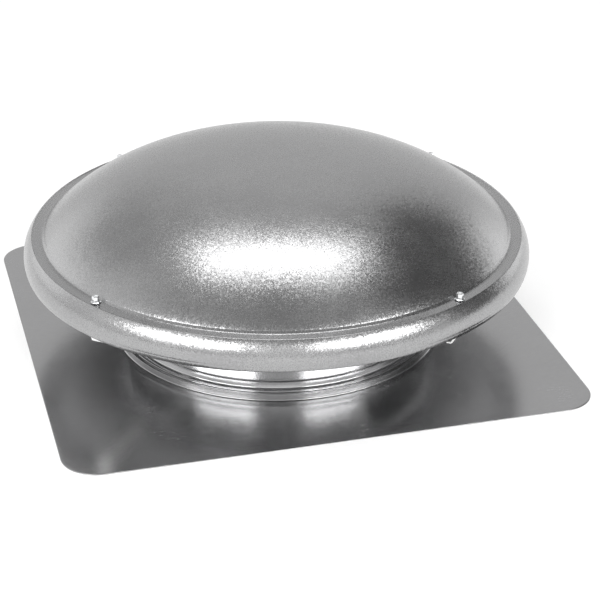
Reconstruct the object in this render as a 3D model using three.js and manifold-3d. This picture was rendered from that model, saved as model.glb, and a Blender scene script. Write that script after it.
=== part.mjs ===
// Domed roof exhaust fan: a flashing with a drawn neck, a throat collar, a spun sheet-steel hood on four
// legs set like a pinwheel, and a direct-drive fan whose motor stands on a cross-shaped bracket.
// Millimetres, +Z up, origin at the centre of the flashing's underside. X runs along the wider side.

import * as THREE from "three";
import { mergeVertices } from "three/addons/utils/BufferGeometryUtils.js";
import Module from "manifold-3d";

const wasm = await Module();
wasm.setup();

// ---------- driving dimensions ----------

const SHEET = 0.8; // galvanised sheet
const GAP = 0.3; // left between pieces that rest on each other

const FLASHING_X = 610;
const FLASHING_Y = 590;
const FLASHING_CORNER_R = 42;

const NECK_R = 197; // the drawn neck round the hole
const NECK_FILLET_R = 4;
const NECK_TOP_Z = 8.7;

const THROAT_R = 184; // outside of the throat's wall
const THROAT_TOP_Z = 77.9;
const THROAT_LIP_R = 199;
const THROAT_BEAD_Z = 18.5;
const THROAT_FOOT_R = 192.5; // edge of the foot flange that rests on the neck
const FOOT_BEND_R = 1.5; // between the throat's wall and its foot flange

const CREASE_R = 292; // the hood's outer crease, above its rolled rim
const CREASE_Z = 130.6;
const BAND_R = 277.6; // inner edge of the flat band that takes the screws
const EDGE_R = 276.6; // foot of the dome
const EDGE_Z = 132.7;
const DOME_RISE = 82.1;
const CROWN_POWER = 2.855; // flattens the crown
const SHOULDER_POWER = 0.917; // steepens the shoulder
const RIM_R = 302.4; // widest part of the rolled rim
const RIM_WIDEST_Z = 106;
const RIM_BOTTOM_Z = 92;
const RIM_ARC_R = 263.6; // middle of the arc that runs from the rim's widest part up to the crease
const RIM_ARC_HEIGHT = 36.1;

const QUARTERS = 4; // legs, bracket arms, hood screws and motor bolts
const SCREW_TURN = THREE.MathUtils.degToRad(31.3); // first hood screw, from +X
const DOME_SCREW_R = 284;
const LEG_TWIST = THREE.MathUtils.degToRad(19.4); // between a leg and the line from the axis to its screw
const LEG_WIDTH = 19;
const LEG_THICK = 1.5;
const LEG_START = 158; // distances along a leg, from the point nearest the axis
const LEG_BEND = 264.8; // the lower bend, which shows below the rim
const LEG_OUT = 273.2; // the upright stretch inside the rim
const LEG_END = 258; // end of the tab that turns back in under the hood's band
const LIP_RIVET_R = 192.7;

const BRACKET_THICK = 2;
const BRACKET_HUB_R = 52;
const BRACKET_ARM_WIDTH = 26;

const SCREEN_R = 196; // centre of the screen's wires
const SCREEN_THICK = 1.6;
const SCREEN_BARS = 20;
const SCREEN_TOP_Z = 180;
const SCREEN_WIRE = 2.2; // width of a bar or hoop

const MOTOR_R = 42;
const MOTOR_BOLT_R = 35.5; // circle of the motor's through bolts
const BOLT_R = 2.2;
const BOLT_HOLE_R = 2.8;
const SHAFT_R = 4;
const BEARING_R = 11;

const FAN_R = 176;
const FAN_WINGS = 4;
const FAN_Z = 46; // middle of the wings
const WING_ROOT_R = 56;
const WING_THICK = 1.2;
const WING_PITCH = THREE.MathUtils.degToRad(20);
const SPIDER_THICK = 1.5;

const BOX_LENGTH = 84; // control box, along its bracket arm
const BOX_WIDTH = 56;
const BOX_HEIGHT = 44;
const BOX_START_R = 84;
const DIAL_R = 13;

const CAPACITOR_R = 17;
const CAPACITOR_HEIGHT = 56;
const CAPACITOR_AT_R = 112;

const FINE = 36; // facets round a large circle
const COARSE = 16; // facets round a small one

// ---------- heights worked out from the stack ----------

const LEG_Z = THROAT_TOP_Z + GAP;
const TAB_TOP_Z = CREASE_Z - SHEET - 0.5;
const BRACKET_Z = LEG_Z + LEG_THICK + GAP;
const BRACKET_TOP_Z = BRACKET_Z + BRACKET_THICK;
const GROMMET_Z = BRACKET_TOP_Z + GAP;
const BELL_Z = GROMMET_Z + 3.2 + GAP;
const SHELL_Z = BELL_Z + 13;
const SHELL_TOP_Z = SHELL_Z + 56;
const BELL_TOP_Z = SHELL_TOP_Z + 14;
const CORE_Z = SHELL_Z + 12;
const CORE_TOP_Z = SHELL_TOP_Z - 9;
const BOX_Z = BRACKET_TOP_Z + GAP;
const BOX_TOP_Z = BOX_Z + BOX_HEIGHT;

// ---------- directions worked out from the hood's screws ----------

const QUARTER_TURN = (2 * Math.PI) / QUARTERS;
const LEG_TURN = SCREW_TURN + LEG_TWIST;
const LEG_OFFSET = DOME_SCREW_R * Math.sin(LEG_TWIST); // from the axis to a leg's centre line
const SCREW_ALONG_LEG = DOME_SCREW_R * Math.cos(LEG_TWIST);
const RIVET_ALONG_LEG = Math.sqrt(LIP_RIVET_R ** 2 - LEG_OFFSET ** 2);
const BRACKET_TURN = LEG_TURN - Math.atan2(LEG_OFFSET, RIVET_ALONG_LEG); // its arms end at the rivets

// ---------- finishes ----------

const finish = (color, roughness, metalness) =>
  new THREE.MeshStandardMaterial({ color, roughness, metalness });

const galvanised = finish(0xb4b6b8, 0.32, 1);
const plated = finish(0xd4d6d8, 0.2, 1);
const blackPaint = finish(0x1c1d1f, 0.45, 0.2);
const whitePaint = finish(0xe8e8e6, 0.4, 0);
const aluminium = finish(0xc8cacc, 0.35, 1);
const lamination = finish(0x5b5c60, 0.5, 0.8);
const copper = finish(0xa8552a, 0.4, 0.9);
const rubber = finish(0x161616, 0.85, 0);
const greyPlastic = finish(0x7d8082, 0.55, 0);
const darkPlastic = finish(0x202124, 0.5, 0);
const cableJacket = finish(0x2a2b2d, 0.6, 0);

// ---------- geometry helpers ----------

// Turns a profile of [radius, height] points about Z. It runs up the outside and down the inside, and it
// either starts and ends on the axis or is closed here.
function revolve(profile, facets = COARSE) {
  const points = profile.map(([r, z]) => new THREE.Vector2(r, z));
  if (profile[0][0] > 0) points.push(points[0].clone());
  return new THREE.LatheGeometry(points, facets).rotateX(Math.PI / 2);
}

// A round disc, post or ring between two heights.
function ring(inner, outer, low, high, facets = COARSE) {
  const profile = inner > 0
    ? [[inner, high], [inner, low], [outer, low], [outer, high]]
    : [[0, low], [outer, low], [outer, high], [0, high]];
  return revolve(profile, facets);
}

// The closed profile of a sheet whose outer face follows the given points, which run upwards.
function sheetProfile(outer, thickness = SHEET) {
  const inner = outer.map(([r, z], i) => {
    const [r0, z0] = outer[Math.max(i - 1, 0)];
    const [r1, z1] = outer[Math.min(i + 1, outer.length - 1)];
    const length = Math.hypot(r1 - r0, z1 - z0);
    const inward = r - ((z1 - z0) / length) * thickness;
    return [r === 0 ? 0 : inward, z + ((r1 - r0) / length) * thickness];
  });
  return [...inner.reverse(), ...outer];
}

// Points of an ellipse's arc, from one angle to another in degrees.
function arc([r, z], [a, b], from, to, steps) {
  return Array.from({ length: steps + 1 }, (_, i) => {
    const t = THREE.MathUtils.degToRad(from + ((to - from) * i) / steps);
    return [r + a * Math.cos(t), z + b * Math.sin(t)];
  });
}

// A flat outline pushed up from z = low by a height.
function extrude(shape, low, height, curveSegments = 6) {
  const settings = { depth: height, bevelEnabled: false, curveSegments };
  return new THREE.ExtrudeGeometry(shape, settings).translate(0, 0, low);
}

// An outline in the X-Z plane, pushed to both sides of Y = 0.
function extrudeAcross(points, width) {
  const shape = new THREE.Shape(points.map(([x, z]) => new THREE.Vector2(x, z)));
  return extrude(shape, -width / 2, width).rotateX(Math.PI / 2);
}

function roundedRectangle(width, depth, radius) {
  const [x, y] = [width / 2, depth / 2];
  const shape = new THREE.Shape();
  shape.moveTo(x, -y + radius);
  shape.absarc(x - radius, y - radius, radius, 0, Math.PI / 2);
  shape.absarc(-x + radius, y - radius, radius, Math.PI / 2, Math.PI);
  shape.absarc(-x + radius, -y + radius, radius, Math.PI, 1.5 * Math.PI);
  shape.absarc(x - radius, -y + radius, radius, 1.5 * Math.PI, 2 * Math.PI);
  return shape;
}

function block([x0, y0, z0], [x1, y1, z1]) {
  return new THREE.BoxGeometry(x1 - x0, y1 - y0, z1 - z0)
    .translate((x0 + x1) / 2, (y0 + y1) / 2, (z0 + z1) / 2);
}

function solidOf(geometry) {
  const bare = geometry.clone();
  bare.deleteAttribute("normal");
  bare.deleteAttribute("uv");
  const merged = mergeVertices(bare, 1e-4);
  const vertProperties = new Float32Array(merged.attributes.position.array);
  const triVerts = new Uint32Array(merged.index.array);
  return new wasm.Manifold(new wasm.Mesh({ numProp: 3, vertProperties, triVerts }));
}

function geometryOf(solid) {
  const made = solid.getMesh();
  return new THREE.BufferGeometry()
    .setAttribute("position", new THREE.BufferAttribute(made.vertProperties, 3))
    .setIndex(new THREE.BufferAttribute(made.triVerts, 1));
}

const cut = (body, ...tools) =>
  geometryOf(tools.reduce((solid, tool) => solid.subtract(solidOf(tool)), solidOf(body)));

const join = (body, ...others) =>
  geometryOf(others.reduce((solid, other) => solid.add(solidOf(other)), solidOf(body)));

// A vertical drill at [x, y].
const drill = (x, y, radius, low, high, facets = 8) =>
  ring(0, radius, low, high, facets).translate(x, y, 0);

// A closed plate of even thickness below a surface given as point(u, v), with u and v from 0 to 1.
function curvedPlate(point, thickness, steps) {
  const positions = [];
  const nudge = 1e-3;
  for (const depth of [0, thickness]) {
    for (let i = 0; i <= steps; i++) {
      for (let j = 0; j <= steps; j++) {
        const [u, v] = [i / steps, j / steps];
        const here = point(u, v);
        const alongU = point(u + nudge, v).sub(point(u - nudge, v));
        const alongV = point(u, v + nudge).sub(point(u, v - nudge));
        here.addScaledVector(alongU.cross(alongV).normalize(), -depth);
        positions.push(here.x, here.y, here.z);
      }
    }
  }
  const row = steps + 1;
  const below = row * row;
  const index = [];
  const quad = (a, b, c, d) => index.push(a, b, c, a, c, d);
  for (let i = 0; i < steps; i++) {
    for (let j = 0; j < steps; j++) {
      const corners = [i * row + j, (i + 1) * row + j, (i + 1) * row + j + 1, i * row + j + 1];
      quad(...corners);
      quad(...corners.map((k) => k + below).reverse());
    }
    const [first, second] = [i * row, (i + 1) * row];
    quad(first + below, second + below, second, first);
    quad(second + steps + below, first + steps + below, first + steps, second + steps);
    quad(i + 1 + below, i + below, i, i + 1);
    quad(steps * row + i + below, steps * row + i + 1 + below, steps * row + i + 1, steps * row + i);
  }
  return new THREE.BufferGeometry()
    .setAttribute("position", new THREE.Float32BufferAttribute(positions, 3))
    .setIndex(index);
}

// ---------- assembly helpers ----------

const fan = new THREE.Group();

function add(name, geometry, material, turn = 0) {
  const mesh = new THREE.Mesh(geometry, material);
  mesh.name = name;
  mesh.rotation.z = turn;
  fan.add(mesh);
}

// Four copies a quarter turn apart, named name_1 to name_4. The geometry lies along +X.
function addQuarters(name, geometry, material, firstTurn) {
  for (let i = 0; i < QUARTERS; i++) add(`${name}_${i + 1}`, geometry, material, firstTurn + i * QUARTER_TURN);
}

// Four vertical drills on a circle.
function quarterDrills(firstTurn, circleR, radius, low, high) {
  return Array.from({ length: QUARTERS }, (_, i) => {
    const turn = firstTurn + i * QUARTER_TURN;
    return drill(circleR * Math.cos(turn), circleR * Math.sin(turn), radius, low, high);
  });
}

// ---------- flashing and throat ----------

function flashing() {
  const outline = roundedRectangle(FLASHING_X, FLASHING_Y, FLASHING_CORNER_R);
  const footR = NECK_R + NECK_FILLET_R;
  const plate = cut(extrude(outline, 0, SHEET, 4), ring(0, footR + 4, -2, 2, FINE));
  // The neck rises upright from the flat sheet and turns in to a level seat under the throat's foot flange.
  const fillet = arc([footR, SHEET + NECK_FILLET_R], [NECK_FILLET_R, NECK_FILLET_R], 270, 180, 3);
  const seat = [[NECK_R, NECK_TOP_Z - 1], [NECK_R - 1, NECK_TOP_Z], [THROAT_R + 3, NECK_TOP_Z]];
  return join(plate, revolve(sheetProfile([[footR + 8, SHEET], ...fillet, ...seat]), FINE));
}

function throat() {
  const footZ = NECK_TOP_Z + GAP + SHEET;
  // Level foot flange, tight bend, straight wall with a bead, and a level lip at the top.
  const outside = [
    [THROAT_FOOT_R, footZ],
    ...arc([THROAT_R + FOOT_BEND_R, footZ + FOOT_BEND_R], [FOOT_BEND_R, FOOT_BEND_R], 270, 180, 2),
    [THROAT_R, THROAT_BEAD_Z - 1.6],
    [THROAT_R + 0.9, THROAT_BEAD_Z],
    [THROAT_R, THROAT_BEAD_Z + 1.6],
    [THROAT_R, THROAT_TOP_Z - 4],
    [THROAT_R + 1.3, THROAT_TOP_Z - 1.1],
    [THROAT_R + 4.5, THROAT_TOP_Z - SHEET],
    [THROAT_LIP_R, THROAT_TOP_Z - SHEET],
  ];
  return revolve(sheetProfile(outside), FINE);
}

const lipHoles = quarterDrills(BRACKET_TURN, LIP_RIVET_R, BOLT_HOLE_R, THROAT_TOP_Z - 6, THROAT_TOP_Z + 6);

add("base_flashing", flashing(), galvanised);
add("throat_collar", cut(throat(), ...lipHoles), galvanised);

// ---------- hood ----------

const domeHeight = (r) =>
  EDGE_Z + DOME_RISE * (1 - (r / EDGE_R) ** CROWN_POWER) ** SHOULDER_POWER;

function hood() {
  const steps = 6;
  const crown = Array.from({ length: steps }, (_, i) => {
    const r = EDGE_R * (1 - ((i + 0.5) / steps) ** 1.15);
    return [r, domeHeight(r)];
  });
  const upperRim = arc([RIM_ARC_R, RIM_WIDEST_Z], [RIM_R - RIM_ARC_R, RIM_ARC_HEIGHT], 10, 42, 3);
  const rolled = [RIM_R - CREASE_R, RIM_WIDEST_Z - RIM_BOTTOM_Z];
  const lowerRim = arc([CREASE_R, RIM_WIDEST_Z], rolled, -90, -8, 3);
  const outside = [
    [CREASE_R - 1.6, RIM_BOTTOM_Z + 1.4],
    [CREASE_R - 1.3, RIM_BOTTOM_Z + 0.4],
    ...lowerRim,
    ...upperRim,
    [CREASE_R - 1.2, CREASE_Z - 0.3],
    [BAND_R, CREASE_Z],
    [EDGE_R, EDGE_Z],
    ...crown,
    [0, EDGE_Z + DOME_RISE],
  ];
  return revolve(sheetProfile(outside), FINE);
}

const screwHoles = quarterDrills(SCREW_TURN, DOME_SCREW_R, BOLT_HOLE_R, CREASE_Z - 8, CREASE_Z + 8);

add("hood_dome", cut(hood(), ...screwHoles), galvanised);

// ---------- legs, and what fastens them ----------

// A strap that lies on the throat's lip, leans out as it rises past the rim, and turns back in under the
// band. It lies along +X, beside the axis.
function leg() {
  const outside = [
    [LEG_START, LEG_Z],
    [LEG_BEND - 2.2, LEG_Z],
    [LEG_BEND, LEG_Z + 1.6],
    [LEG_BEND + 4.6, RIM_BOTTOM_Z],
    [LEG_OUT, RIM_WIDEST_Z - 2],
    [LEG_OUT, TAB_TOP_Z - 3.4],
    [LEG_OUT - 1.4, TAB_TOP_Z - 1],
    [LEG_OUT - 4.2, TAB_TOP_Z],
    [LEG_END, TAB_TOP_Z],
  ];
  return cut(
    extrudeAcross(sheetProfile(outside, LEG_THICK), LEG_WIDTH),
    drill(RIVET_ALONG_LEG, 0, BOLT_HOLE_R, LEG_Z - 2, LEG_Z + 4),
    drill(SCREW_ALONG_LEG, 0, BOLT_HOLE_R, TAB_TOP_Z - 4, TAB_TOP_Z + 2),
  ).translate(0, -LEG_OFFSET, 0);
}

// Hex-head sheet-metal screw with a washer face, point down.
function hexScrew(seat, headR, headHeight, shankR, reach) {
  return join(
    ring(0, headR + 1.4, seat, seat + 1, 12),
    ring(0, headR, seat + 0.6, seat + headHeight, 6),
    revolve([[0, seat - reach], [shankR, seat - reach + 3], [shankR, seat + 0.5], [0, seat + 0.5]], 8),
  );
}

// Domed rivet whose head rests on top and whose upset end clinches below.
function rivet(seat, grip) {
  const low = seat - grip - 1.4;
  return revolve([
    [0, low], [3.6, low], [3.6, low + 1], [2.3, low + 1],
    [2.3, seat], [4.6, seat], [3.6, seat + 1.7], [0, seat + 2.3],
  ], 10);
}

addQuarters("hood_leg", leg(), whitePaint, LEG_TURN);

const domeScrew = hexScrew(CREASE_Z + GAP, 4.2, 7.4, 2.3, 14).translate(DOME_SCREW_R, 0, 0);
addQuarters("dome_screw", domeScrew, plated, SCREW_TURN);

const rivetGrip = BRACKET_TOP_Z - THROAT_TOP_Z + SHEET + 2 * GAP;
const lipRivet = rivet(BRACKET_TOP_Z + GAP, rivetGrip).translate(LIP_RIVET_R, 0, 0);
addQuarters("lip_rivet", lipRivet, plated, BRACKET_TURN);

// ---------- bird screen ----------

// A cylinder of square mesh: bars and hoops are cells of one polar grid, and the windows are left out.
function screen() {
  const low = BRACKET_TOP_Z + 2.9;
  const hoops = 3;
  const barTurn = SCREEN_WIRE / SCREEN_R;
  const pitch = (2 * Math.PI) / SCREEN_BARS;
  const hoopPitch = (SCREEN_TOP_Z - low - SCREEN_WIRE) / (hoops - 1);
  const turns = Array.from({ length: SCREEN_BARS }, (_, i) => [i * pitch, i * pitch + barTurn]).flat();
  const heights = Array.from({ length: hoops }, (_, i) => [
    low + i * hoopPitch,
    low + i * hoopPitch + SCREEN_WIRE,
  ]).flat();
  const filled = (i, j) => j >= 0 && j < heights.length - 1 && (i % 2 === 0 || j % 2 === 0);
  const [inside, outside] = [SCREEN_R - SCREEN_THICK / 2, SCREEN_R + SCREEN_THICK / 2];
  const at = (r, i, j) => {
    const turn = turns[i % turns.length];
    return [r * Math.cos(turn), r * Math.sin(turn), heights[j]];
  };
  const positions = [];
  const quad = (a, b, c, d) => positions.push(...a, ...b, ...c, ...a, ...c, ...d);
  for (let i = 0; i < turns.length; i++) {
    const [before, after] = [(i + turns.length - 1) % turns.length, (i + 1) % turns.length];
    for (let j = 0; j < heights.length - 1; j++) {
      if (!filled(i, j)) continue;
      const corners = [[i, j], [i + 1, j], [i + 1, j + 1], [i, j + 1]];
      const [o00, o10, o11, o01] = corners.map((corner) => at(outside, ...corner));
      const [n00, n10, n11, n01] = corners.map((corner) => at(inside, ...corner));
      quad(o00, o10, o11, o01);
      quad(n10, n00, n01, n11);
      if (!filled(i, j - 1)) quad(n00, n10, o10, o00);
      if (!filled(i, j + 1)) quad(o01, o11, n11, n01);
      if (!filled(before, j)) quad(n00, o00, o01, n01);
      if (!filled(after, j)) quad(o10, n10, n11, o11);
    }
  }
  return new THREE.BufferGeometry()
    .setAttribute("position", new THREE.Float32BufferAttribute(positions, 3));
}

add("bird_screen", screen(), galvanised, BRACKET_TURN);

// ---------- motor ----------

const onBoltCircle = (radius, low, high) => quarterDrills(0, MOTOR_BOLT_R, radius, low, high);

// One stamping: a hub under the motor and four arms that end on the throat's lip.
function motorBracket() {
  const [reach, half] = [LIP_RIVET_R + 6, BRACKET_ARM_WIDTH / 2];
  const along = block([-reach, -half, BRACKET_Z], [reach, half, BRACKET_TOP_Z]);
  const across = along.clone().rotateZ(QUARTER_TURN);
  return cut(
    join(ring(0, BRACKET_HUB_R, BRACKET_Z, BRACKET_TOP_Z, 24), along, across),
    drill(0, 0, 15, BRACKET_Z - 2, BRACKET_TOP_Z + 2, 20),
    ...onBoltCircle(BOLT_HOLE_R, BRACKET_Z - 2, BRACKET_TOP_Z + 2),
    ...quarterDrills(0, LIP_RIVET_R, BOLT_HOLE_R, BRACKET_Z - 2, BRACKET_TOP_Z + 2),
  );
}

function lowerBell() {
  const [low, high] = [BELL_Z, SHELL_Z - GAP];
  // A cup with a bearing pocket in its floor.
  const cup = revolve([
    [SHAFT_R + 1.5, low], [MOTOR_R - 4, low], [MOTOR_R, low + 4], [MOTOR_R, high],
    [MOTOR_R - 2, high], [MOTOR_R - 2, low + 5], [BEARING_R + 3, low + 5],
    [BEARING_R + 3, low + 10], [BEARING_R + GAP, low + 10], [BEARING_R + GAP, low + 2],
    [SHAFT_R + 1.5, low + 2],
  ], 20);
  return cut(cup, ...onBoltCircle(BOLT_HOLE_R, low - 2, high + 2));
}

function upperBell() {
  const [low, high] = [SHELL_TOP_Z + GAP, BELL_TOP_Z];
  // A cap with a raised boss, closed over the upper bearing's pocket.
  const cap = revolve([
    [0, high + 1], [BEARING_R + GAP, high + 1], [BEARING_R + GAP, high - 7],
    [BEARING_R + 3, high - 7], [BEARING_R + 3, high - 2], [MOTOR_R - 5, high - 2],
    [MOTOR_R - 2, high - 4], [MOTOR_R - 2, low], [MOTOR_R, low], [MOTOR_R, high - 4],
    [MOTOR_R - 3, high], [BEARING_R + 10, high], [BEARING_R + 5, high + 3], [0, high + 3],
  ], 20);
  return cut(cap, ...onBoltCircle(BOLT_HOLE_R, low - 4, high + 6));
}

// Wound core: a laminated ring, notched where the through bolts pass.
function stator() {
  return cut(
    ring(20.8, MOTOR_R - 2.6, CORE_Z, CORE_TOP_Z, 20),
    ...onBoltCircle(BOLT_HOLE_R + 1, CORE_Z - 2, CORE_TOP_Z + 2),
  );
}

const winding = (low) => revolve([
  [23, low + 5.5], [23, low + 1], [24, low], [29, low], [30.4, low + 1], [30.4, low + 5.5],
], 18);

const coilLow = CORE_Z - GAP - 5.5;
const coilHigh = CORE_TOP_Z + GAP;
const leadHoleZ = SHELL_Z + 6.8;

function shell() {
  const tube = ring(MOTOR_R - 2, MOTOR_R, SHELL_Z, SHELL_TOP_Z, 20);
  const leadHole = ring(0, 5, -8, 8, 14).rotateY(Math.PI / 2).translate(MOTOR_R, 0, leadHoleZ);
  return cut(tube, leadHole);
}

function throughBolt() {
  const seat = BELL_TOP_Z + GAP + 0.2;
  return join(
    ring(0, BOLT_R, BRACKET_Z - 7, seat + 1, 12),
    ring(0, 4.2, seat, seat + 3.4, 6),
  ).translate(MOTOR_BOLT_R, 0, 0);
}

const nutHigh = BRACKET_Z - GAP;
const nut = cut(
  ring(0, 4.6, nutHigh - 3.6, nutHigh, 6),
  drill(0, 0, BOLT_R + GAP, nutHigh - 6, nutHigh + 2),
).translate(MOTOR_BOLT_R, 0, 0);
const grommet = revolve([
  [BOLT_HOLE_R, GROMMET_Z], [6.5, GROMMET_Z], [5.4, GROMMET_Z + 1.6],
  [6.5, GROMMET_Z + 3.2], [BOLT_HOLE_R, GROMMET_Z + 3.2],
], 10).translate(MOTOR_BOLT_R, 0, 0);

add("motor_bracket", motorBracket(), galvanised, BRACKET_TURN);
addQuarters("motor_grommet", grommet, rubber, BRACKET_TURN);
add("motor_end_bell_lower", lowerBell(), blackPaint, BRACKET_TURN);
add("motor_shell", shell(), blackPaint, BRACKET_TURN);
add("motor_end_bell_upper", upperBell(), blackPaint, BRACKET_TURN);
add("stator_core", stator(), lamination, BRACKET_TURN);
add("stator_winding_lower", winding(coilLow), copper, BRACKET_TURN);
add("stator_winding_upper", winding(coilHigh), copper, BRACKET_TURN);
addQuarters("motor_bolt", throughBolt(), plated, BRACKET_TURN);
addQuarters("motor_nut", nut, plated, BRACKET_TURN);

const bearing = (low) => ring(SHAFT_R + GAP, BEARING_R, low, low + 7);
add("bearing_lower", bearing(BELL_Z + 2 + GAP), plated);
add("bearing_upper", bearing(BELL_TOP_Z - 6.5), plated);

// ---------- what turns: rotor, shaft and fan ----------

const hubLow = FAN_Z - 10;
const hubHigh = FAN_Z + 12;

function hub() {
  const body = revolve([
    [SHAFT_R + GAP, hubHigh], [SHAFT_R + GAP, hubLow], [10, hubLow], [10, FAN_Z + 3],
    [20, FAN_Z + 3], [20, FAN_Z + 6], [10, FAN_Z + 6], [10, hubHigh],
  ], 16);
  const setHole = ring(0, 2.4, 0, 20, 12).rotateY(Math.PI / 2).translate(0, 0, hubLow + 5);
  return cut(body, setHole);
}

// The wings and the spider's arms follow one screw surface, which is level near the hub.
function screwSurface(r, turn, lift) {
  const ramp = THREE.MathUtils.smoothstep(r, 24, WING_ROOT_R);
  const camber = 5 * (1 - (turn / 0.32) ** 2) * ramp;
  const rise = ramp * r * Math.tan(WING_PITCH) * turn;
  return new THREE.Vector3(r * Math.cos(turn), r * Math.sin(turn), FAN_Z + rise + camber - 3 * ramp + lift);
}

const wingHalfTurn = (u) => 0.36 - 0.08 * u - 0.17 * u ** 8;

const wingPoint = (u, v) =>
  screwSurface(WING_ROOT_R + (FAN_R - WING_ROOT_R) * u, (2 * v - 1) * wingHalfTurn(u), 0);

const spiderLift = SPIDER_THICK + GAP + 0.6; // clears the facets of the wings below

function spider() {
  const disc = ring(10 + GAP, 24, FAN_Z + spiderLift - SPIDER_THICK, FAN_Z + spiderLift, 24);
  const fingers = Array.from({ length: FAN_WINGS }, (_, i) => {
    const point = (u, v) => {
      const r = 19 + 66 * u;
      return screwSurface(r, ((2 * v - 1) * (7 + 7 * u)) / r, spiderLift + 0.02);
    };
    return curvedPlate(point, SPIDER_THICK, 3).rotateZ((i * 2 * Math.PI) / FAN_WINGS);
  });
  return join(disc, ...fingers);
}

add("motor_shaft", ring(0, SHAFT_R, hubLow - 4, BELL_TOP_Z + 0.4), plated);
add("rotor_core", ring(SHAFT_R + GAP, 20.2, CORE_Z, CORE_TOP_Z, 20), lamination);
add("fan_hub", hub(), aluminium);
add("fan_spider", spider(), galvanised);
for (let i = 0; i < FAN_WINGS; i++) {
  const wing = curvedPlate(wingPoint, WING_THICK, 5);
  add(`fan_wing_${i + 1}`, wing, aluminium, (i * 2 * Math.PI) / FAN_WINGS);
}
const setScrew = ring(0, 2, SHAFT_R + GAP, 10.6, 10).rotateY(Math.PI / 2).translate(0, 0, hubLow + 5);
add("hub_set_screw", setScrew, plated);

// ---------- control box on the bracket's first arm ----------

const boxEndR = BOX_START_R + BOX_LENGTH;
const wall = 1;
const leadZ = BOX_Z + 16;

function controlBox() {
  const half = BOX_WIDTH / 2;
  const outer = block([BOX_START_R, -half, BOX_Z], [boxEndR, half, BOX_TOP_Z]);
  const inner = block(
    [BOX_START_R + wall, wall - half, BOX_Z + wall],
    [boxEndR - wall, half - wall, BOX_TOP_Z + 5],
  );
  const leadHole = ring(0, 5.2, -6, 6, 14).rotateY(Math.PI / 2).translate(BOX_START_R, 0, leadZ);
  return cut(outer, inner, leadHole);
}

const dialX = BOX_START_R + 52;
const coverZ = BOX_TOP_Z + GAP;
const coverTop = coverZ + 1.2;
const dialZ = coverTop + GAP + 0.4;
const coverScrews = [[BOX_START_R + 8, 0], [boxEndR - 8, 0]];

function boxCover() {
  const half = BOX_WIDTH / 2 + 1;
  const plate = block([BOX_START_R - 1, -half, coverZ], [boxEndR + 1, half, coverTop]);
  const holes = coverScrews.map(([x, y]) => drill(x, y, 2.2, coverZ - 2, coverTop + 2));
  return cut(plate, drill(dialX, 0, 5, coverZ - 2, coverTop + 2), ...holes);
}

// Snap-action thermostat: a square body that hangs under the cover, with its stem socket open.
function thermostat() {
  const top = coverZ - GAP;
  const body = block([dialX - 17, -17, top - 22], [dialX + 17, 17, top]);
  return cut(body, drill(dialX, 0, 4, top - 12, top + 2));
}

// The dial's skirt, its grip bar and the stem that goes down into the thermostat.
function dial() {
  const skirt = ring(0, DIAL_R, dialZ, dialZ + 2.2, 28);
  const grip = block([-DIAL_R + 2, -2.6, dialZ + 1], [DIAL_R - 2, 2.6, dialZ + 9]);
  const stem = ring(0, 3.2, coverZ - 8, dialZ + 1, 14);
  return join(skirt, grip, stem).translate(dialX, 0, 0);
}

add("control_box", controlBox(), galvanised, BRACKET_TURN);
add("control_box_cover", boxCover(), galvanised, BRACKET_TURN);
add("thermostat_body", thermostat(), darkPlastic, BRACKET_TURN);
add("thermostat_dial", dial(), greyPlastic, BRACKET_TURN);
coverScrews.forEach(([x, y], i) => {
  const screw = join(
    ring(0, 3.6, coverTop + GAP, coverTop + GAP + 2, 14),
    ring(0, 1.7, coverZ - 6, coverTop + GAP + 1, 10),
  ).translate(x, y, 0);
  add(`cover_screw_${i + 1}`, screw, plated, BRACKET_TURN);
});

// ---------- lead from the motor to the control box ----------

// Bushing with a collar outside the wall it sits in; it lies along +X and its collar is at x = 0.
const bushing = () => revolve([
  [3.4, 5], [3.4, -3], [4.7, -3], [4.7, 0.4], [7, 0.4], [7, 3], [5.4, 5],
], 12).rotateY(Math.PI / 2);

const leadRoute = new THREE.CatmullRomCurve3([
  new THREE.Vector3(MOTOR_R - 4, 0, leadHoleZ),
  new THREE.Vector3(MOTOR_R + 6, 0, leadHoleZ),
  new THREE.Vector3(MOTOR_R + 16, 0, leadHoleZ + 1),
  new THREE.Vector3(BOX_START_R - 18, 0, leadZ - 1),
  new THREE.Vector3(BOX_START_R - 8, 0, leadZ),
  new THREE.Vector3(BOX_START_R + 3, 0, leadZ),
]);

function lead(route, radius, steps) {
  const section = new THREE.Shape();
  section.absarc(0, 0, radius, 0, 2 * Math.PI);
  const settings = { steps, bevelEnabled: false, extrudePath: route, curveSegments: 4 };
  return new THREE.ExtrudeGeometry(section, settings);
}

add("motor_lead", lead(leadRoute, 2.9, 10), cableJacket, BRACKET_TURN);
const motorBushing = bushing().translate(MOTOR_R, 0, leadHoleZ);
const boxBushing = bushing().rotateZ(Math.PI).translate(BOX_START_R, 0, leadZ);
add("motor_lead_bushing", motorBushing, rubber, BRACKET_TURN);
add("box_lead_bushing", boxBushing, rubber, BRACKET_TURN);

// ---------- run capacitor on the arm opposite the box ----------

const capacitorTurn = BRACKET_TURN + Math.PI;
const capacitorZ = BOX_Z + 1.2 + GAP;
const capacitorTop = capacitorZ + CAPACITOR_HEIGHT;

const capacitor = revolve([
  [0, capacitorZ], [CAPACITOR_R - 1, capacitorZ], [CAPACITOR_R, capacitorZ + 1],
  [CAPACITOR_R, capacitorTop - 1], [CAPACITOR_R - 1, capacitorTop], [6, capacitorTop],
  [6, capacitorTop + 5], [0, capacitorTop + 5],
], 18).translate(CAPACITOR_AT_R, 0, 0);

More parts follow.
